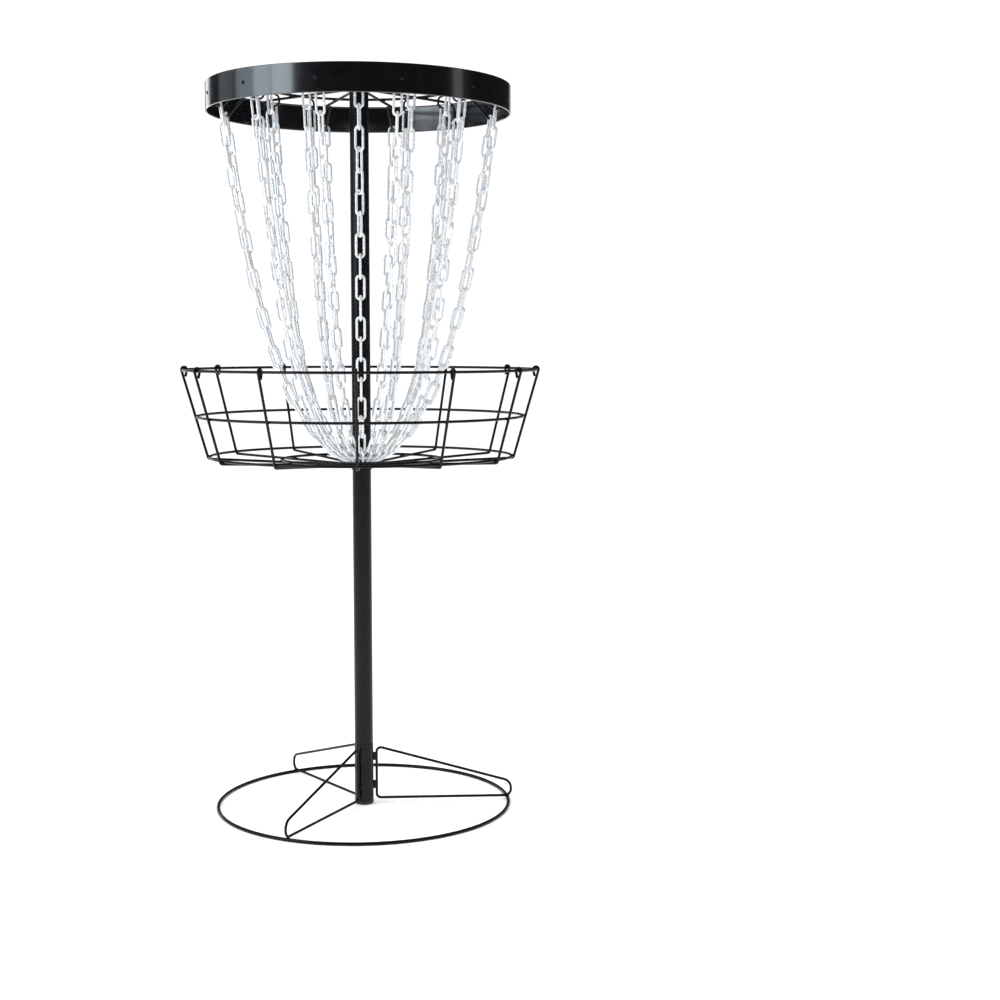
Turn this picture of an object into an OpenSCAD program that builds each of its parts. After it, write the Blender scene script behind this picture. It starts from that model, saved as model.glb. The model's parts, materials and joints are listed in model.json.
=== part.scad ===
// Portable disc golf basket: pole, wire base, wire cage, chain support, band and 24 chains.
// Millimetres, +Z up. The origin is on the pole's axis, at the floor. The front faces -Y.

/* [Pole] */
// Outer diameter of the pole sections
pole_d = 35; // [33:0.5:36]
// Wall thickness of the pole sections
pole_wall = 2; // [1.5:0.1:2.5]
// Height of the joint between the base tube and the lower pole
base_joint_z = 117; // [112:1:130]
// Height of the joint between the lower pole and the cage hub
cage_joint_z = 641; // [639:1:642]
// Height of the top end of the upper pole
pole_top_z = 1336; // [1330:1:1337]
// Diameter of the threaded studs that join the pole sections
stud_d = 10; // [8:0.5:12]

/* [Base] */
// Radius of the floor ring, to the middle of its wire
base_ring_r = 276; // [250:1:300]
// Wire diameter of the floor ring
base_ring_wire_d = 6.4; // [5:0.1:8]
// Wire diameter of the gussets
gusset_wire_d = 5; // [4:0.1:6]
// Height of the gussets at the pole
gusset_top_z = 110; // [100:1:112]
// Height of the gussets above the floor ring
gusset_tip_z = 36; // [28:1:45]
// Turn of the base about the pole
base_turn = 0.5; // [-15:0.5:15]

/* [Cage] */
// Radius of the rim, to the middle of its wire
rim_r = 328; // [315:1:335]
// Height of the rim
rim_z = 828; // [810:1:850]
// Radius of the bottom ring
bottom_ring_r = 281.7; // [270:0.1:295]
// Height of the bottom ring
bottom_ring_z = 666.5; // [664:0.1:668]
// Height of the middle ring
middle_ring_z = 742; // [725:1:765]
// Radius of the small ring on the cage floor
floor_ring_r = 149; // [120:1:170]
// Diameter of the cage wires
cage_wire_d = 5; // [4.5:0.1:5.2]
// Number of upright wires
upright_count = 12;
// Turn of the cage about the pole
cage_turn = -1.5; // [-15:0.5:15]

/* [Band] */
// Outer diameter of the band
band_d = 559; // [556:1:566]
// Height of the band
band_h = 51; // [40:1:60]
// Height of the band's top edge
band_top_z = 1348; // [1345:1:1350]
// Thickness of the band
band_t = 1.6; // [1:0.1:2]

/* [Chain support] */
// Wire diameter of the spokes and their ring
spider_wire_d = 5; // [4.5:0.1:5.2]
// Height of the spokes, to the middle of the wire
spoke_z = 1344; // [1342:0.5:1345]
// Radius of the outer chain hooks, to the middle of their outer leg
hook_r = 264; // [262:0.5:266]
// Height of the bottom of the outer chain hooks
hook_z = 1300.6; // [1298:0.1:1304]
// Radius of the ring that holds the inner chains
spider_ring_r = 184; // [175:1:195]
// Wire diameter of the inner chain hooks
inner_hook_wire_d = 4; // [3.5:0.1:4.4]

/* [Chains] */
// Number of links in each chain
link_count = 19;
// Inner length of a link
link_inner_l = 37.7; // [37.5:0.1:38]
// Inner width of a link
link_inner_w = 9.6; // [9:0.1:10]
// Wire diameter of a link
link_wire_d = 4.4; // [4:0.1:4.5]
// Radius of the collar ring that gathers the lower ends
collar_r = 30.5; // [30:0.1:32]
// Height of the collar ring
collar_z = 664; // [663:0.5:668]
// Wire diameter of the collar ring
collar_wire_d = 5; // [4:0.1:5]

/* [Hidden] */
$fn = 36;
// Clearance that keeps two pieces apart where they bear on each other
seat_gap = 0.05;
// Extra width of a bent wire where a run meets a bend
joint_swell = 0.04;
// Play between one link and the next
link_play = 0.8;
chains_per_ring = 12;
chain_step = 360 / chains_per_ring;
outer_first_az = chain_step / 2;
link_pitch = link_inner_l - link_play;
// Links in the upper twist, and the turns of the lowest links that let neighbouring chains nest
twist_links = 8;
low_twists = [20, 35, 20, 8];
wire_colour = [0.07, 0.07, 0.075];
sheet_colour = [0.09, 0.095, 0.11];
zinc_colour = [0.82, 0.83, 0.84];
steel_colour = [0.6, 0.61, 0.62];
cap_colour = [0.05, 0.05, 0.05];

// Pole
tube_bore_d = pole_d - 2 * pole_wall;
plug_l = 24;
plug_bore_d = stud_d + 0.4;
stud_l = 46;
hub_d = 39;
hub_h = 12;
hub_z = cage_joint_z;
upper_pole_z = hub_z + hub_h;
base_tube_d = 36;
cap_h = 9;

// Base
gusset_angles = [0, 120, 240];
gusset_in_r = 24;
gusset_bend_r = 8;
gusset_tip_bend_r = 18;
gusset_foot_bend_r = 12;
gusset_overhang = 6;
gusset_seat = 0.6;
gusset_foot_z = 10;
lug_t = 5;
lug_h = 15;
lug_heights = [36, 91];

// Cage
cage_lean = atan((rim_r - bottom_ring_r) / (rim_z - bottom_ring_z));
wrap_r = cage_wire_d + seat_gap;
middle_ring_r = bottom_ring_r + (middle_ring_z - bottom_ring_z) * tan(cage_lean);
floor_hub_z = hub_z + hub_h - cage_wire_d / 2 - 1;
floor_edge_z = bottom_ring_z - wrap_r;
hub_r = hub_d / 2;
floor_slope = atan((floor_edge_z - floor_hub_z) / (bottom_ring_r - hub_r));
tail_l = 12;
tail_lean = 12;
floor_ring_z = floor_hub_z + (floor_ring_r - hub_r) * tan(floor_slope) + wrap_r;

// Band and its fixings
band_r = band_d / 2;
band_in_r = band_r - band_t;
hem_d = 3;
screw_z = band_top_z - band_h / 2;
screw_head_d = 7.5;
screw_head_h = 1.5;
socket_d = 2.6;
socket_depth = 0.9;
screw_d = 5;
screw_hole_d = screw_d + 0.4;
screw_head_z = band_r + seat_gap;
screw_tip_z = band_in_r - 7;
lug_d = 10;
lug_floor = 1.5;

// Chain support
hub_top_z = 1349;
spigot_l = 45;
spoke_bend_r = 18;
hook_bend_r = 8;
hook_mid_r = hook_r - hook_bend_r;
hook_lean = 44;
spider_ring_z = spoke_z + spider_wire_d + seat_gap;
inner_hook_r = 11;
inner_hook_top_z = spider_ring_z - (spider_wire_d + inner_hook_wire_d) / 2 - seat_gap;
inner_hook_z = inner_hook_top_z - 2 * inner_hook_r;
inner_hook_gap = 100;

function pad(n) = str(n < 10 ? "0" : "", n);
function numbered(name, count) = [for (i = [1:count]) str(name, pad(i))];

OUTER_CHAINS = numbered("chain_outer_", chains_per_ring);
INNER_CHAINS = numbered("chain_inner_", chains_per_ring);
UPRIGHTS = numbered("cage_wire_", upright_count);
GUSSETS = numbered("base_gusset_", len(gusset_angles));

// ---- Shared shapes ----

// A ring of round wire, lying flat at height z
module wire_ring(r, z, d) {
    translate([0, 0, z])
        rotate_extrude($fn = 180)
            translate([r, 0])
                circle(d = d, $fn = 36);
}

// A straight round wire between two points of the XY plane
module straight_wire(from, to, d) {
    run = to - from;
    translate([from.x, from.y, 0])
        rotate([0, 0, atan2(run.y, run.x)])
            rotate([0, 90, 0])
                cylinder(h = norm(run), d = d);
}

// A round wire bent in the XY plane, about centre, from start_a on through sweep
module arc_wire(centre, r, start_a, sweep, d) {
    translate([centre.x, centre.y, 0])
        rotate([0, 0, start_a])
            rotate_extrude(angle = sweep, $fn = 72)
                translate([r, 0])
                    circle(d = d, $fn = 36);
}

function unit(v) = v / norm(v);
function angle_of(v) = atan2(v.y, v.x);
function turn_between(u, v) = atan2(u.x * v.y - u.y * v.x, u * v);

// One bend that starts at the origin heading along +X; a positive turn is to the left
module wire_bend(r, turn, d) {
    mirror([0, turn < 0 ? 1 : 0, 0])
        arc_wire([0, r], r, -90, abs(turn), d);
}

// A wire that starts at the origin heading along +X: straight runs, with a [radius, turn] after each but the last.
// A ball a hair wider than the wire closes each place where a run meets a bend.
module wire_path(runs, bends, d, i = 0) {
    if (i > 0)
        sphere(d = d + joint_swell);
    straight_wire([0, 0], [runs[i], 0], d);
    if (i < len(bends)) {
        r = bends[i][0];
        turn = bends[i][1];
        translate([runs[i], 0, 0]) {
            sphere(d = d + joint_swell);
            wire_bend(r, turn, d);
            translate([0, sign(turn) * r, 0])
                rotate([0, 0, turn])
                    translate([0, -sign(turn) * r, 0])
                        wire_path(runs, bends, d, i + 1);
        }
    }
}

// A wire along corner points, each inner corner bent to its own radius
module bent_wire(points, radii, d) {
    last = len(points) - 1;
    sides = [for (i = [0:last - 1]) points[i + 1] - points[i]];
    turns = [for (i = [1:last - 1]) turn_between(sides[i - 1], sides[i])];
    cuts = [for (i = [0:last - 2]) radii[i] * tan(abs(turns[i]) / 2)];
    runs = [for (i = [0:last - 1])
        norm(sides[i]) - (i == 0 ? 0 : cuts[i - 1]) - (i == last - 1 ? 0 : cuts[i])];
    translate([points[0].x, points[0].y, 0])
        rotate([0, 0, angle_of(sides[0])])
            wire_path(runs, [for (i = [0:last - 2]) [radii[i], turns[i]]], d);
}

// Stands what is drawn in the XY plane upright, in the vertical plane at azimuth az
module at_azimuth(az) {
    rotate([0, 0, az])
        rotate([90, 0, 0])
            children();
}

module tube(d, bore, z0, z1) {
    translate([0, 0, z0])
        difference() {
            cylinder(h = z1 - z0, d = d, $fn = 96);
            translate([0, 0, -1])
                cylinder(h = z1 - z0 + 2, d = bore, $fn = 96);
        }
}

// ---- Base ----

module base_ring() {
    color(wire_colour)
        wire_ring(base_ring_r, base_ring_wire_d / 2, base_ring_wire_d);
}

// Short tube that stands the pole on the floor and carries the three gussets
module base_tube() {
    color(wire_colour)
        tube(base_tube_d, tube_bore_d, cap_h - 4, base_joint_z);
}

// Plastic foot pushed into the base tube, flat underneath with a rounded rim
module base_cap() {
    round_r = 3;
    color(cap_colour)
        rotate_extrude($fn = 96)
            union() {
                square([base_tube_d / 2 - round_r, cap_h - 4]);
                translate([0, round_r])
                    square([base_tube_d / 2, cap_h - 4 - round_r]);
                intersection() {
                    square([base_tube_d / 2, round_r]);
                    translate([base_tube_d / 2 - round_r, round_r])
                        circle(r = round_r, $fn = 48);
                }
                square([tube_bore_d / 2 - 0.1, cap_h + 12]);
            }
}

// One gusset is a single wire bent to a closed loop, butt-welded in its upright and standing on the floor ring
module base_gusset(i) {
    tip_r = base_ring_r + gusset_overhang;
    sink = gusset_foot_bend_r - sqrt(pow(gusset_foot_bend_r, 2) - pow(gusset_foot_bend_r - gusset_overhang, 2));
    tip_z = base_ring_wire_d + gusset_wire_d / 2 + gusset_seat - sink;
    weld = [gusset_in_r, (gusset_foot_z + gusset_top_z) / 2];
    outline = [
        weld,
        [gusset_in_r, gusset_foot_z],
        [tip_r, tip_z],
        [tip_r, gusset_tip_z],
        [gusset_in_r, gusset_top_z],
        weld];
    color(wire_colour)
        at_azimuth(gusset_angles[i] + base_turn)
            union() {
                bent_wire(outline, [gusset_bend_r, gusset_foot_bend_r, gusset_tip_bend_r, gusset_bend_r],
                    gusset_wire_d);
                translate([weld.x, weld.y, 0])
                    sphere(d = gusset_wire_d + joint_swell);
            }
}

// Small plates that hold each gusset clear of the base tube
module base_gusset_lugs() {
    reach = gusset_in_r - (base_tube_d + gusset_wire_d) / 2;
    color(wire_colour)
        for (a = gusset_angles, z = lug_heights)
            at_azimuth(a + base_turn)
                translate([0, z, -lug_t / 2])
                    intersection() {
                        linear_extrude(lug_t)
                            translate([base_tube_d / 2 - 1, -lug_h / 2])
                                square([reach + 1 + 1, lug_h]);
                        translate([0, lug_h, lug_t / 2])
                            rotate([90, 0, 0])
                                difference() {
                                    cylinder(h = 2 * lug_h, r = gusset_in_r, $fn = 96);
                                    translate([0, 0, -1])
                                        cylinder(h = 2 * lug_h + 2, d = base_tube_d + 2 * seat_gap, $fn = 96);
                                    translate([gusset_in_r, 0, -1])
                                        cylinder(h = 2 * lug_h + 2, d = gusset_wire_d + 2 * seat_gap);
                                }
                    }
}

// ---- Pole ----

module lower_pole() {
    color(sheet_colour)
        tube(pole_d, tube_bore_d, base_joint_z, cage_joint_z);
}

module upper_pole() {
    color(sheet_colour)
        tube(pole_d, tube_bore_d, upper_pole_z, pole_top_z);
}

module end_plug(z0) {
    translate([0, 0, z0])
        difference() {
            cylinder(h = plug_l, d = tube_bore_d - 2 * seat_gap, $fn = 96);
            translate([0, 0, -1])
                cylinder(h = plug_l + 2, d = plug_bore_d, $fn = 48);
        }
}

// Threaded plugs in the tube ends that meet at the two joints
module pole_end_plugs() {
    color(steel_colour) {
        end_plug(base_joint_z - plug_l - seat_gap);
        end_plug(base_joint_z + seat_gap);
        end_plug(cage_joint_z - plug_l - seat_gap);
        end_plug(upper_pole_z + seat_gap);
    }
}

// Studs that screw into the plugs on both sides of a joint
module pole_studs() {
    color(steel_colour)
        for (z = [base_joint_z, hub_z + hub_h / 2])
            translate([0, 0, z - stud_l / 2])
                cylinder(h = stud_l, d = stud_d, $fn = 48);
}

// ---- Cage ----

// Disc clamped between the two pole sections, with the floor wires welded round it
module cage_hub() {
    color(wire_colour)
        tube(hub_d, stud_d + 1, hub_z, hub_z + hub_h);
}

module cage_rim() {
    color(wire_colour)
        wire_ring(rim_r, rim_z, cage_wire_d);
}

module cage_middle_ring() {
    color(wire_colour)
        wire_ring(middle_ring_r, middle_ring_z, cage_wire_d);
}

module cage_bottom_ring() {
    color(wire_colour)
        wire_ring(bottom_ring_r, bottom_ring_z, cage_wire_d);
}

module cage_floor_ring() {
    color(wire_colour)
        wire_ring(floor_ring_r, floor_ring_z, cage_wire_d);
}

// One wire: along the floor from the hub, round under the bottom ring, up outside the rings,
// over the rim and down inside it in a short tail
module cage_wire(i) {
    wall_dir = [sin(cage_lean), cos(cage_lean)];
    floor_dir = [cos(floor_slope), sin(floor_slope)];
    floor_start = [hub_r, floor_hub_z];
    wall_top = [rim_r, rim_z] + [cos(cage_lean), -sin(cage_lean)] * wrap_r;
    reach = wall_top - floor_start;
    corner_turn = 90 - cage_lean - floor_slope;
    corner_cut = wrap_r * tan(corner_turn / 2);
    floor_l = (reach.x * wall_dir.y - reach.y * wall_dir.x) / sin(corner_turn);
    wall_l = norm(reach - floor_dir * floor_l);
    color(wire_colour)
        at_azimuth(i * 360 / upright_count + cage_turn)
            translate([floor_start.x, floor_start.y, 0])
                rotate([0, 0, floor_slope])
                    wire_path([floor_l - corner_cut, wall_l - corner_cut, tail_l],
                        [[wrap_r, corner_turn], [wrap_r, 180 + cage_lean + tail_lean]],
                        cage_wire_d);
}

// ---- Chain support ----

// Turned plug in the top of the pole, with the spokes welded round it
module spider_hub() {
    color(wire_colour)
        rotate_extrude($fn = 96)
            union() {
                translate([0, pole_top_z - spigot_l])
                    square([tube_bore_d / 2 - seat_gap, spigot_l]);
                translate([0, pole_top_z])
                    square([pole_d / 2, hub_top_z - pole_top_z - 1]);
                translate([0, hub_top_z - 1])
                    square([pole_d / 2 - 1, 1]);
            }
}

// One spoke runs out under the ring, bends down, turns back in a V and ends under itself
module spider_spoke(az) {
    low_z = hook_z + hook_bend_r;
    hook_turn = 180 - hook_lean;
    back_start_z = low_z - hook_bend_r * sin(hook_lean);
    back_l = (spoke_z - spider_wire_d - seat_gap - back_start_z) / cos(hook_lean);
    at_azimuth(az)
        translate([pole_d / 2, spoke_z, 0])
            wire_path([hook_r - pole_d / 2 - spoke_bend_r, spoke_z - spoke_bend_r - low_z, back_l],
                [[spoke_bend_r, -90], [hook_bend_r, -hook_turn]], spider_wire_d);
}

module spider_spokes() {
    color(wire_colour)
        for (i = [0:chains_per_ring - 1])
            spider_spoke(outer_first_az + i * chain_step);
}

// Ring welded on top of the spokes
module spider_ring() {
    color(wire_colour)
        wire_ring(spider_ring_r, spider_ring_z, spider_wire_d);
}

// Open hooks under the ring, one for each inner chain
module inner_chain_hooks() {
    centre = [spider_ring_r, inner_hook_top_z - inner_hook_r];
    color(wire_colour)
        for (i = [0:chains_per_ring - 1])
            at_azimuth(i * chain_step)
                arc_wire(centre, inner_hook_r, 90, 360 - inner_hook_gap, inner_hook_wire_d);
}

// ---- Band ----

// Rolled sheet hoop with both edges hemmed round and a hole for each screw
module band() {
    bottom_z = band_top_z - band_h;
    color(sheet_colour)
        difference() {
            rotate_extrude($fn = 180)
                union() {
                    translate([band_in_r, bottom_z + hem_d / 2])
                        square([band_t, band_h - hem_d]);
                    for (z = [bottom_z + hem_d / 2, band_top_z - hem_d / 2])
                        translate([band_r - hem_d / 2, z])
                            circle(d = hem_d, $fn = 36);
                }
            for (i = [0:chains_per_ring - 1])
                at_azimuth(outer_first_az + i * chain_step)
                    translate([band_r - 2 * hem_d, screw_z, 0])
                        rotate([0, 90, 0])
                            cylinder(h = 3 * hem_d, d = screw_hole_d);
        }
}

// Welded nuts between the hooks' outer legs and the band
module band_lugs() {
    from_r = hook_r + spider_wire_d / 2 + seat_gap;
    to_r = band_in_r - 3 * seat_gap;
    color(wire_colour)
        for (i = [0:chains_per_ring - 1])
            at_azimuth(outer_first_az + i * chain_step)
                translate([from_r, screw_z, 0])
                    rotate([0, 90, 0])
                        difference() {
                            cylinder(h = to_r - from_r, d = lug_d);
                            translate([0, 0, lug_floor])
                                cylinder(h = to_r, d = screw_hole_d);
                        }
}

// Button-head screws through the band into the lugs, with a hexagon socket in each head
module band_screws() {
    shank_l = screw_head_z - screw_tip_z;
    dome_r = (pow(screw_head_d / 2, 2) + pow(screw_head_h, 2)) / (2 * screw_head_h);
    color(wire_colour)
        for (i = [0:chains_per_ring - 1])
            at_azimuth(outer_first_az + i * chain_step)
                translate([screw_tip_z, screw_z, 0])
                    rotate([0, 90, 0])
                        difference() {
                            union() {
                                cylinder(h = shank_l, d = screw_d);
                                translate([0, 0, shank_l])
                                    intersection() {
                                        cylinder(h = screw_head_h, d = screw_head_d);
                                        translate([0, 0, screw_head_h - dome_r])
                                            sphere(r = dome_r, $fn = 96);
                                    }
                            }
                            translate([0, 0, shank_l + screw_head_h - socket_depth])
                                cylinder(h = 2 * socket_depth, d = socket_d, $fn = 6);
                        }
}

// ---- Chains ----

// One welded link of round wire, along X and lying in the XY plane, centred
module link() {
    bend_r = (link_inner_w + link_wire_d) / 2;
    half_run = (link_inner_l - link_inner_w) / 2;
    union() {
        arc_wire([half_run, 0], bend_r, -90, 180, link_wire_d);
        arc_wire([-half_run, 0], bend_r, 90, 180, link_wire_d);
        for (side = [-1, 1])
            straight_wire([-half_run, side * bend_r], [half_run, side * bend_r], link_wire_d);
    }
}

// A hanging chain of rigid links: the slope of link j, counted from the low end, grows by equal steps
function link_reach(j, end_wire_d) = j == link_count - 1 ? link_pitch - end_wire_d / 2
    : j == 0 ? link_pitch - collar_wire_d / 2
    : link_pitch;
function link_slope(j, u, h) = atan2(j + u, h);
function chain_span(u, h, end_wire_d, j = 0) = j == link_count ? [0, 0]
    : let (a = link_slope(j, u, h))
        link_reach(j, end_wire_d) * [cos(a), sin(a)] + chain_span(u, h, end_wire_d, j + 1);

// Start slope for which the chain ends in the direction of its top hook
function solve_u(h, target, wire, lo = -6, hi = 12, n = 26) =
    let (mid = (lo + hi) / 2)
    n == 0 ? mid
    : angle_of(chain_span(mid, h, wire)) < angle_of(target) ? solve_u(h, target, wire, mid, hi, n - 1)
    : solve_u(h, target, wire, lo, mid, n - 1);

// Sideways pull for which the chain is just long enough
function solve_h(target, wire, lo = 0.2, hi = 12, n = 26) =
    let (mid = (lo + hi) / 2)
    n == 0 ? mid
    : norm(chain_span(solve_u(mid, target, wire), mid, wire)) < norm(target)
        ? solve_h(target, wire, mid, hi, n - 1)
    : solve_h(target, wire, lo, mid, n - 1);

// Running positions of the joints between links, from the collar up
function joints_up(slopes, end_wire_d, j = 0, at = [collar_r, collar_z]) =
    j == link_count ? [at]
    : concat([at], joints_up(slopes, end_wire_d, j + 1,
        at + link_reach(j, end_wire_d) * [cos(slopes[j]), sin(slopes[j])]));

// One chain from the collar ring up to a hook wire at top
module chain(az, top, hook_wire_d) {
    target = top - [collar_r, collar_z];
    h = solve_h(target, hook_wire_d);
    u = solve_u(h, target, hook_wire_d);
    slopes = [for (j = [0:link_count - 1]) link_slope(j, u, h)];
    at = joints_up(slopes, hook_wire_d);
    last = link_count - 1;
    color(zinc_colour)
        at_azimuth(az)
            for (j = [0:last]) {
                along = [cos(slopes[j]), sin(slopes[j])];
                from = j == 0 ? at[0] - along * collar_wire_d / 2 : at[j];
                to = j == last ? at[j + 1] + along * hook_wire_d / 2 : at[j + 1];
                middle = (from + to) / 2;
                top_twist = 90 * max(0, (j - last + twist_links) / twist_links);
                twist = top_twist + (j < len(low_twists) ? low_twists[j] : 0);
                translate([middle.x, middle.y, 0])
                    rotate([0, 0, slopes[j]])
                        rotate([90 * j + twist, 0, 0])
                            link();
            }
}

module chain_outer(i) {
    chain(outer_first_az + i * chain_step, [hook_mid_r, hook_z], spider_wire_d);
}

module chain_inner(i) {
    chain(i * chain_step, [spider_ring_r, inner_hook_z], inner_hook_wire_d);
}

// Loose ring round the pole that gathers the lower ends of all the chains
module chain_collar() {
    color(zinc_colour)
        wire_ring(collar_r, collar_z, collar_wire_d);
}

// ---- Nodes ----

base_ring();
base_tube();
base_cap();
base_gusset_lugs();
for (i = [0:len(GUSSETS) - 1])
    base_gusset(i);
lower_pole();
upper_pole();
pole_end_plugs();
pole_studs();
cage_hub();
cage_rim();
cage_middle_ring();
cage_bottom_ring();
cage_floor_ring();
for (i = [0:upright_count - 1])
    cage_wire(i);
chain_collar();
spider_hub();
spider_spokes();
spider_ring();
inner_chain_hooks();
band();
band_lugs();
band_screws();
for (i = [0:chains_per_ring - 1])
    chain_outer(i);
for (i = [0:chains_per_ring - 1])
    chain_inner(i);
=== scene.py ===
"""Looks of the disc golf basket: materials, weld beads, studio and camera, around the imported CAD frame."""

import json
import math

import bmesh
import bpy
from mathutils import Matrix, Vector, noise


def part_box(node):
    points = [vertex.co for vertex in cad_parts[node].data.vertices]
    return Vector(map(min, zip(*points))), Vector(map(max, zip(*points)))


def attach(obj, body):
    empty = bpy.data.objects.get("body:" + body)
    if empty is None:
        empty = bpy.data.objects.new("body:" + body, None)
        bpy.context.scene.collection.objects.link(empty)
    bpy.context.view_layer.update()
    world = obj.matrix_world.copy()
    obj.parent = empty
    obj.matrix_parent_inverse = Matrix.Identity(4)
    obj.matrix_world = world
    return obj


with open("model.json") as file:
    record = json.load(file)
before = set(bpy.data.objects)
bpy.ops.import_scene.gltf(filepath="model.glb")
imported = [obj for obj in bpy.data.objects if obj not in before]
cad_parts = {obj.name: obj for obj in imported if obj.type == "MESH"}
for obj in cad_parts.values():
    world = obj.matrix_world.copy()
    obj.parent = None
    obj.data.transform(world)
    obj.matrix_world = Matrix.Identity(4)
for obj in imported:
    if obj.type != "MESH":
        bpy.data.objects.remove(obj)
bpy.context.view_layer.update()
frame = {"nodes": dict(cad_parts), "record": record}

MM = 0.001
RECORD = frame["record"]
BODIES = RECORD["behaviour"]["bodies"]

# ---------------------------------------------------------------- materials


class Shader:
    """A Principled material that grows node by node, on coordinates in metres that move with the piece."""

    def __init__(self, name):
        self.material = bpy.data.materials.new(name)
        self.material.use_nodes = True
        self.tree = self.material.node_tree
        self.bsdf = self.tree.nodes["Principled BSDF"]
        self.coords = self.tree.nodes.new("ShaderNodeTexCoord").outputs["Object"]

    def set(self, **values):
        for key, value in values.items():
            self.bsdf.inputs[key.replace("_", " ")].default_value = value

    def noise(self, scale, detail=2.0, stretch=(1, 1, 1)):
        vector = self.coords
        if stretch != (1, 1, 1):
            mapping = self.tree.nodes.new("ShaderNodeMapping")
            mapping.inputs["Scale"].default_value = stretch
            self.tree.links.new(self.coords, mapping.inputs["Vector"])
            vector = mapping.outputs["Vector"]
        node = self.tree.nodes.new("ShaderNodeTexNoise")
        node.inputs["Scale"].default_value = scale
        node.inputs["Detail"].default_value = detail
        self.tree.links.new(vector, node.inputs["Vector"])
        return node.outputs["Fac"]

    def spread(self, source, low, high, start=0.35, end=0.65):
        node = self.tree.nodes.new("ShaderNodeMapRange")
        node.inputs["From Min"].default_value = start
        node.inputs["From Max"].default_value = end
        node.inputs["To Min"].default_value = low
        node.inputs["To Max"].default_value = high
        self.tree.links.new(source, node.inputs["Value"])
        return node.outputs["Result"]

    def ramp(self, source, stops):
        node = self.tree.nodes.new("ShaderNodeValToRGB")
        elements = node.color_ramp.elements
        while len(elements) < len(stops):
            elements.new(0.5)
        for element, (place, colour) in zip(elements, stops):
            element.position = place
            element.color = (*colour, 1)
        self.tree.links.new(source, node.inputs["Fac"])
        return node.outputs["Color"]

    def link(self, source, socket):
        self.tree.links.new(source, self.bsdf.inputs[socket])

    def bump(self, height, strength, distance):
        node = self.tree.nodes.new("ShaderNodeBump")
        node.inputs["Strength"].default_value = strength
        node.inputs["Distance"].default_value = distance
        last = self.bsdf.inputs["Normal"].links
        if last:
            self.tree.links.new(last[0].from_socket, node.inputs["Normal"])
        self.tree.links.new(height, node.inputs["Height"])
        self.link(node.outputs["Normal"], "Normal")


def powder_coat(name, dark, light, rough, peel, sheen, clear=0.0):
    """Baked black powder coat: fine orange peel, slow drift in colour and gloss, perhaps a clear coat."""
    s = Shader(name)
    s.set(Metallic=0.0, IOR=1.5, Specular_IOR_Level=sheen)
    s.set(Coat_Weight=clear, Coat_IOR=1.6, Coat_Roughness=0.12)
    s.link(s.ramp(s.noise(9, 4), [(0.35, dark), (0.65, light)]), "Base Color")
    s.link(s.spread(s.noise(45, 5), *rough), "Roughness")
    s.bump(s.noise(620, 3), peel, 0.12 * MM)
    s.bump(s.noise(70, 2), peel * 0.5, 0.2 * MM)
    return s.material


def bright_zinc(name):
    """Bright zinc plate on drawn wire: bluish white with faint yellow passivation and dull rubbed patches."""
    s = Shader(name)
    s.set(Metallic=0.55)
    tint = s.ramp(s.noise(60, 3), [
        (0.3, (0.74, 0.77, 0.82)),
        (0.5, (0.82, 0.83, 0.84)),
        (0.72, (0.84, 0.82, 0.78)),
    ])
    s.link(tint, "Base Color")
    s.link(s.spread(s.noise(260, 5), 0.24, 0.42), "Roughness")
    s.bump(s.noise(900, 3), 0.25, 0.08 * MM)
    s.bump(s.noise(180, 2), 0.2, 0.15 * MM)
    return s.material


def turned_steel(name):
    """Plain turned steel with tool rings along the pole's axis."""
    s = Shader(name)
    s.set(Metallic=1.0)
    s.link(s.ramp(s.noise(90, 3), [(0.35, (0.42, 0.42, 0.43)), (0.65, (0.55, 0.55, 0.55))]), "Base Color")
    s.link(s.spread(s.noise(300, 4, (0.02, 0.02, 1)), 0.25, 0.45), "Roughness")
    s.bump(s.noise(1500, 2, (0.02, 0.02, 1)), 0.4, 0.1 * MM)
    return s.material


def moulded_plastic(name):
    """Black moulded plastic with a fine spark-eroded grain."""
    s = Shader(name)
    s.set(Metallic=0.0, IOR=1.46)
    s.link(s.ramp(s.noise(30, 3), [(0.35, (0.012, 0.012, 0.012)), (0.65, (0.02, 0.02, 0.021))]), "Base Color")
    s.link(s.spread(s.noise(200, 4), 0.42, 0.58), "Roughness")
    s.bump(s.noise(1400, 2), 0.5, 0.1 * MM)
    return s.material


MATERIALS = {
    "black_wire": powder_coat(
        "black_wire", (0.001, 0.001, 0.0015), (0.003, 0.003, 0.004), (0.26, 0.38), 0.25, 0.22),
    "black_pole": powder_coat(
        "black_pole", (0.001, 0.001, 0.002), (0.003, 0.003, 0.004), (0.20, 0.28), 0.14, 0.22),
    "black_band": powder_coat(
        "black_band", (0.001, 0.001, 0.0015), (0.002, 0.002, 0.003), (0.20, 0.26), 0.08, 0.5, 1.0),
    "black_plastic": moulded_plastic("black_plastic"),
    "plain_steel": turned_steel("plain_steel"),
    "bright_zinc": bright_zinc("bright_zinc"),
}


def paint(obj, slot):
    obj.data.materials.clear()
    obj.data.materials.append(MATERIALS[slot])


for part in RECORD["subparts"]:
    paint(frame["nodes"][part["node"]], part["material_slot"])

# ---------------------------------------------------------------- measures taken from the frame


def ring_of(node):
    """(radius to the middle of the wire, height, wire radius) of a ring node."""
    low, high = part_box(node)
    wire_r = (high.z - low.z) / 2
    return high.x - wire_r, (high.z + low.z) / 2, wire_r


def azimuth_of(node):
    low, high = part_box(node)
    middle = (low + high) / 2
    return math.atan2(middle.y, middle.x)


def polar(radius, azimuth, height):
    return Vector((radius * math.cos(azimuth), radius * math.sin(azimuth), height))


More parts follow.
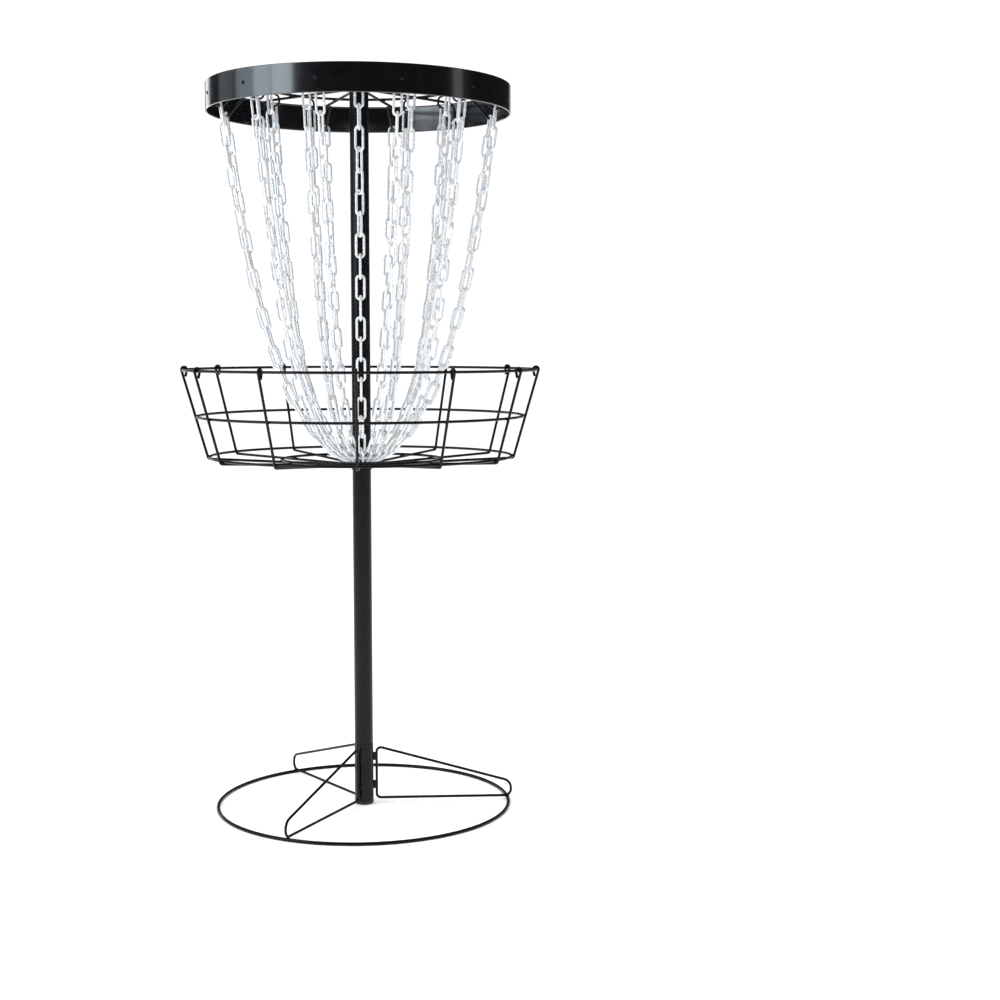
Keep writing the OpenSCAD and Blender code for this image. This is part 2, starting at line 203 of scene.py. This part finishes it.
CAGE_WIRES = [n for n in BODIES["root"] if n.startswith("cage_wire_")]
GUSSETS = [n for n in BODIES["root"] if n.startswith("base_gusset_") and n[-1].isdigit()]
CHAINS = [n for n in frame["nodes"] if n.startswith(("chain_outer_", "chain_inner_"))]

# ---------------------------------------------------------------- weld beads

# Half extents of the beads: along the joint, across it, and off it
CROSSING_BEAD = (3.4 * MM, 3.4 * MM, 1.5 * MM)
CAGE_HUB_BEAD = (3.4 * MM, 3.6 * MM, 1.7 * MM)
SPIDER_RING_BEAD = (3.2 * MM, 3.2 * MM, 1.4 * MM)
SPIDER_HUB_BEAD = (3.5 * MM, 3.7 * MM, 1.8 * MM)
FOOT_BEAD = (3.4 * MM, 4.2 * MM, 1.5 * MM)
PLATE_BEAD = (7.4 * MM, 1.3 * MM, 1.1 * MM)
PLATE_H = 15 * MM


def add_bead(bm, centre, across, along, size, seed):
    """A lump of weld: an uneven ellipsoid, size = its half extents along, across and off the joint."""
    off = along.cross(across).normalized()
    across = off.cross(along).normalized()
    turn = Matrix((along.normalized(), across, off)).transposed()
    made = bmesh.ops.create_icosphere(bm, subdivisions=2, radius=1)["verts"]
    for v in made:
        swell = 1 + 0.16 * noise.noise(v.co * 1.7 + Vector((seed * 3.1, seed, 0)))
        v.co = centre + turn @ Vector([c * s * swell for c, s in zip(v.co, size)])


def smooth_piece(name, bm, slot, body):
    """Turns bm into a smooth-shaded piece that rides on a body."""
    mesh = bpy.data.meshes.new(name)
    bm.to_mesh(mesh)
    bm.free()
    for polygon in mesh.polygons:
        polygon.use_smooth = True
    obj = bpy.data.objects.new(name, mesh)
    bpy.context.scene.collection.objects.link(obj)
    paint(obj, slot)
    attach(obj, body)


def bead_object(name, beads):
    """beads: (centre, across, along, size) in metres."""
    bm = bmesh.new()
    for i, (centre, across, along, size) in enumerate(beads):
        add_bead(bm, centre, across, along, size, i)
    smooth_piece(name, bm, "black_wire", "root")


def cage_welds():
    """One flattened bead between each cage wire and each ring that it crosses."""
    beads = []
    up = Vector((0, 0, 1))
    rim_r, rim_z, rim_wire_r = ring_of("cage_rim")
    bottom_r, bottom_z, _ = ring_of("cage_bottom_ring")
    lean = math.atan2(rim_r - bottom_r, rim_z - bottom_z)
    hub_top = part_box("cage_hub")[1]
    for node in CAGE_WIRES:
        az = azimuth_of(node)
        out = polar(1, az, 0)
        round_dir = out.cross(up)
        wall_out = out * math.cos(lean) - up * math.sin(lean)
        wall_up = out * math.sin(lean) + up * math.cos(lean)
        for ring in ("cage_rim", "cage_middle_ring", "cage_bottom_ring"):
            ring_r, ring_z, wire_r = ring_of(ring)
            beads.append((polar(ring_r, az, ring_z) + wall_out * wire_r, wall_up, round_dir, CROSSING_BEAD))
        ring_r, ring_z, wire_r = ring_of("cage_floor_ring")
        beads.append((polar(ring_r, az, ring_z) - up * wire_r, out, round_dir, CROSSING_BEAD))
        at_hub = polar(hub_top.x, az, hub_top.z - rim_wire_r - 1 * MM)
        beads.append((at_hub, round_dir, up, CAGE_HUB_BEAD))
    bead_object("cage_welds", beads)


def spider_welds():
    """Beads where the spokes meet the hub and the ring, and where the hooks meet the ring."""
    beads = []
    up = Vector((0, 0, 1))
    ring_r, ring_z, wire_r = ring_of("spider_ring")
    hub_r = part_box("upper_pole")[1].x
    for node in CHAINS:
        az = math.radians(chain_azimuth(node))
        out = polar(1, az, 0)
        round_dir = out.cross(up)
        under_ring = polar(ring_r, az, ring_z) - up * wire_r
        beads.append((under_ring, out, round_dir, SPIDER_RING_BEAD))
        if node.startswith("chain_outer_"):
            at_hub = polar(hub_r, az, ring_z - 2 * wire_r)
            beads.append((at_hub, round_dir, up, SPIDER_HUB_BEAD))
    bead_object("spider_welds", beads)


def base_welds():
    """Beads where the gussets stand on the floor ring, and along the plates at the base tube."""
    beads = []
    up = Vector((0, 0, 1))
    ring_r, ring_z, wire_r = ring_of("base_ring")
    tube_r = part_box("base_tube")[1].x
    low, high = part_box("base_gusset_lugs")
    for node in GUSSETS:
        az = azimuth_of(node)
        out = polar(1, az, 0)
        round_dir = out.cross(up)
        on_ring = polar(ring_r - 1 * MM, az, 2 * wire_r)
        beads.append((on_ring, out, round_dir, FOOT_BEAD))
        for z in (low.z + PLATE_H / 2, high.z - PLATE_H / 2):
            for side in (-1, 1):
                foot = polar(tube_r + 0.4 * MM, az, z) + round_dir * side * 2.6 * MM
                beads.append((foot, round_dir, up, PLATE_BEAD))
    bead_object("base_welds", beads)


# ---------------------------------------------------------------- chains

LINK_WIRE_R = 2.2 * MM


def chain_azimuth(node):
    """Degrees, to the nearest half step between chains."""
    low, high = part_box(node)
    middle = (low + high) / 2
    step = 15  # half the angle between two chains of one ring
    return step * round(math.degrees(math.atan2(middle.y, middle.x)) / step)


def islands(mesh):
    """The vertex positions of each loose piece of a mesh."""
    bm = bmesh.new()
    bm.from_mesh(mesh)
    bmesh.ops.remove_doubles(bm, verts=bm.verts, dist=0.01 * MM)
    left = set(bm.verts)
    pieces = []
    for start in bm.verts:
        if start not in left:
            continue
        left.discard(start)
        edge, piece = [start], []
        while edge:
            v = edge.pop()
            piece.append(v.co.copy())
            for e in v.link_edges:
                other = e.other_vert(v)
                if other in left:
                    left.discard(other)
                    edge.append(other)
        pieces.append(piece)
    bm.free()
    return pieces


def link_frame(points):
    """Centre, long direction and wide direction of a link, and half its width."""
    centre = sum(points, Vector()) / len(points)
    far = max(points, key=lambda p: (p - centre).length_squared)
    long_dir = (far - centre).normalized()
    for _ in range(8):
        ahead = [p for p in points if (p - centre).dot(long_dir) > 0]
        long_dir = sum((p - centre for p in ahead), Vector()).normalized()
    flat = [p - centre - long_dir * (p - centre).dot(long_dir) for p in points]
    wide_dir = max(flat, key=lambda p: p.length_squared).normalized()
    half_w = max(p.dot(wide_dir) for p in flat)
    return centre, long_dir, wide_dir, half_w


def add_weld_bulge(bm, centre, along, wire_r, seed):
    """The short swelling that the butt weld leaves round one long side of a link."""
    across = along.orthogonal().normalized()
    other = along.cross(across)
    around, rings = 14, 7
    half_l = 2.6 * MM
    height = 0.55 * MM
    rows = []
    for k in range(rings):
        t = -1 + 2 * k / (rings - 1)
        radius = wire_r - 0.15 * MM + height * math.cos(t * math.pi / 2) ** 0.8
        row = []
        for i in range(around):
            a = 2 * math.pi * i / around
            uneven = 1 + 0.05 * noise.noise(Vector((math.cos(a) * 2, math.sin(a) * 2, t + seed)))
            spoke = across * math.cos(a) + other * math.sin(a)
            row.append(bm.verts.new(centre + along * t * half_l + spoke * radius * uneven))
        rows.append(row)
    for low, high in zip(rows, rows[1:]):
        for i in range(around):
            j = (i + 1) % around
            bm.faces.new((low[i], low[j], high[j], high[i]))
    bm.faces.new(list(reversed(rows[0])))
    bm.faces.new(rows[-1])


def chain_welds(node, body):
    bm = bmesh.new()
    for i, points in enumerate(islands(frame["nodes"][node].data)):
        centre, long_dir, wide_dir, half_w = link_frame(points)
        side = 1 if i % 3 else -1
        add_weld_bulge(bm, centre + wide_dir * side * (half_w - LINK_WIRE_R), long_dir, LINK_WIRE_R, i)
    smooth_piece(node + "_welds", bm, "bright_zinc", body)


cage_welds()
spider_welds()
base_welds()
for body, nodes in BODIES.items():
    for node in nodes:
        if node in CHAINS:
            chain_welds(node, body)

# ---------------------------------------------------------------- studio


def pale_floor():
    mesh = bpy.data.meshes.new("studio_floor")
    half = 12.0
    corners = [(-half, -half, 0), (half, -half, 0), (half, half, 0), (-half, half, 0)]
    mesh.from_pydata(corners, [], [(0, 1, 2, 3)])
    floor = bpy.data.objects.new("studio_floor", mesh)
    bpy.context.scene.collection.objects.link(floor)
    s = Shader("pale_floor")
    s.set(Specular_IOR_Level=0.0)
    s.link(s.ramp(s.noise(3, 3), [(0.3, (0.90, 0.90, 0.90)), (0.7, (0.94, 0.94, 0.94))]), "Base Color")
    s.link(s.spread(s.noise(20, 3), 0.6, 0.75), "Roughness")
    mesh.materials.append(s.material)


def softbox(name, place, target, size, power, colour=(1, 1, 1)):
    light = bpy.data.lights.new(name, "AREA")
    light.shape = "RECTANGLE"
    light.size, light.size_y = size
    light.energy = power
    light.color = colour
    obj = bpy.data.objects.new(name, light)
    obj.location = place
    aim = Vector(target) - Vector(place)
    obj.rotation_euler = aim.to_track_quat("-Z", "Y").to_euler()
    obj.visible_camera = False
    bpy.context.scene.collection.objects.link(obj)


def studio_world(seen, ambient, reflected):
    """A white surround: one level for the eye, one for ambient light, and a dim one mirrored in gloss."""
    world = bpy.data.worlds.new("studio_world")
    world.use_nodes = True
    tree = world.node_tree
    path = tree.nodes.new("ShaderNodeLightPath")
    last = tree.nodes["Background"]
    last.inputs["Color"].default_value = (ambient, ambient, ambient, 1)
    for output, level in (("Is Glossy Ray", reflected), ("Is Camera Ray", seen)):
        layer = tree.nodes.new("ShaderNodeBackground")
        layer.inputs["Color"].default_value = (level, level, level * 1.03, 1)
        mix = tree.nodes.new("ShaderNodeMixShader")
        tree.links.new(path.outputs[output], mix.inputs["Fac"])
        tree.links.new(last.outputs[0], mix.inputs[1])
        tree.links.new(layer.outputs["Background"], mix.inputs[2])
        last = mix
    tree.links.new(last.outputs[0], tree.nodes["World Output"].inputs["Surface"])
    bpy.context.scene.world = world


CAMERA_PLACE = (0, -3.1486, 0.881)
CAMERA_DOWN = 5.43
CAMERA_TURN = -4.735
CAMERA_LENS = 60.23


def camera():
    data = bpy.data.cameras.new("camera")
    data.sensor_width = 36
    data.lens = CAMERA_LENS
    obj = bpy.data.objects.new("camera", data)
    obj.location = CAMERA_PLACE
    obj.rotation_euler = (math.radians(90 - CAMERA_DOWN), 0, math.radians(CAMERA_TURN))
    bpy.context.scene.collection.objects.link(obj)
    bpy.context.scene.camera = obj


pale_floor()
studio_world(seen=1.08, ambient=1.22, reflected=0.02)
SOFTBOXES = (
    # name, degrees round from the front towards the left, distance, height, (width, height), radiance, colour
    ("key_bright", 55, 2.6, 2.0, (0.80, 2.1), 4.2, (0.80, 0.92, 1.0)),
    ("key_middle", 72, 2.6, 2.0, (0.74, 2.1), 3.4, (0.76, 0.91, 1.0)),
    ("key_dim", 89, 2.6, 2.0, (0.80, 1.9), 1.4, (0.76, 0.91, 1.0)),
    ("side_left", 111, 2.6, 2.0, (0.90, 1.9), 0.4, (0.80, 0.92, 1.0)),
    ("edge_left", 150, 3.0, 1.5, (0.8, 2.4), 1.4, (1, 1, 1)),
    ("edge_right", -160, 3.0, 1.5, (0.5, 2.4), 0.35, (1, 1, 1)),
    ("fill_right", -75, 3.4, 1.6, (0.5, 2.0), 0.8, (1, 1, 1)),
)
for name, turn, distance, height, size, radiance, colour in SOFTBOXES:
    place = (-distance * math.sin(math.radians(turn)), -distance * math.cos(math.radians(turn)), height)
    softbox(name, place, (0, 0, 1.0), size, math.pi * size[0] * size[1] * radiance, colour)
softbox("top", (0, 0.2, 3.6), (0, 0, 0), (3.0, 3.0), math.pi * 9 * 0.8)
camera()
bpy.context.scene.view_settings.view_transform = "Standard"
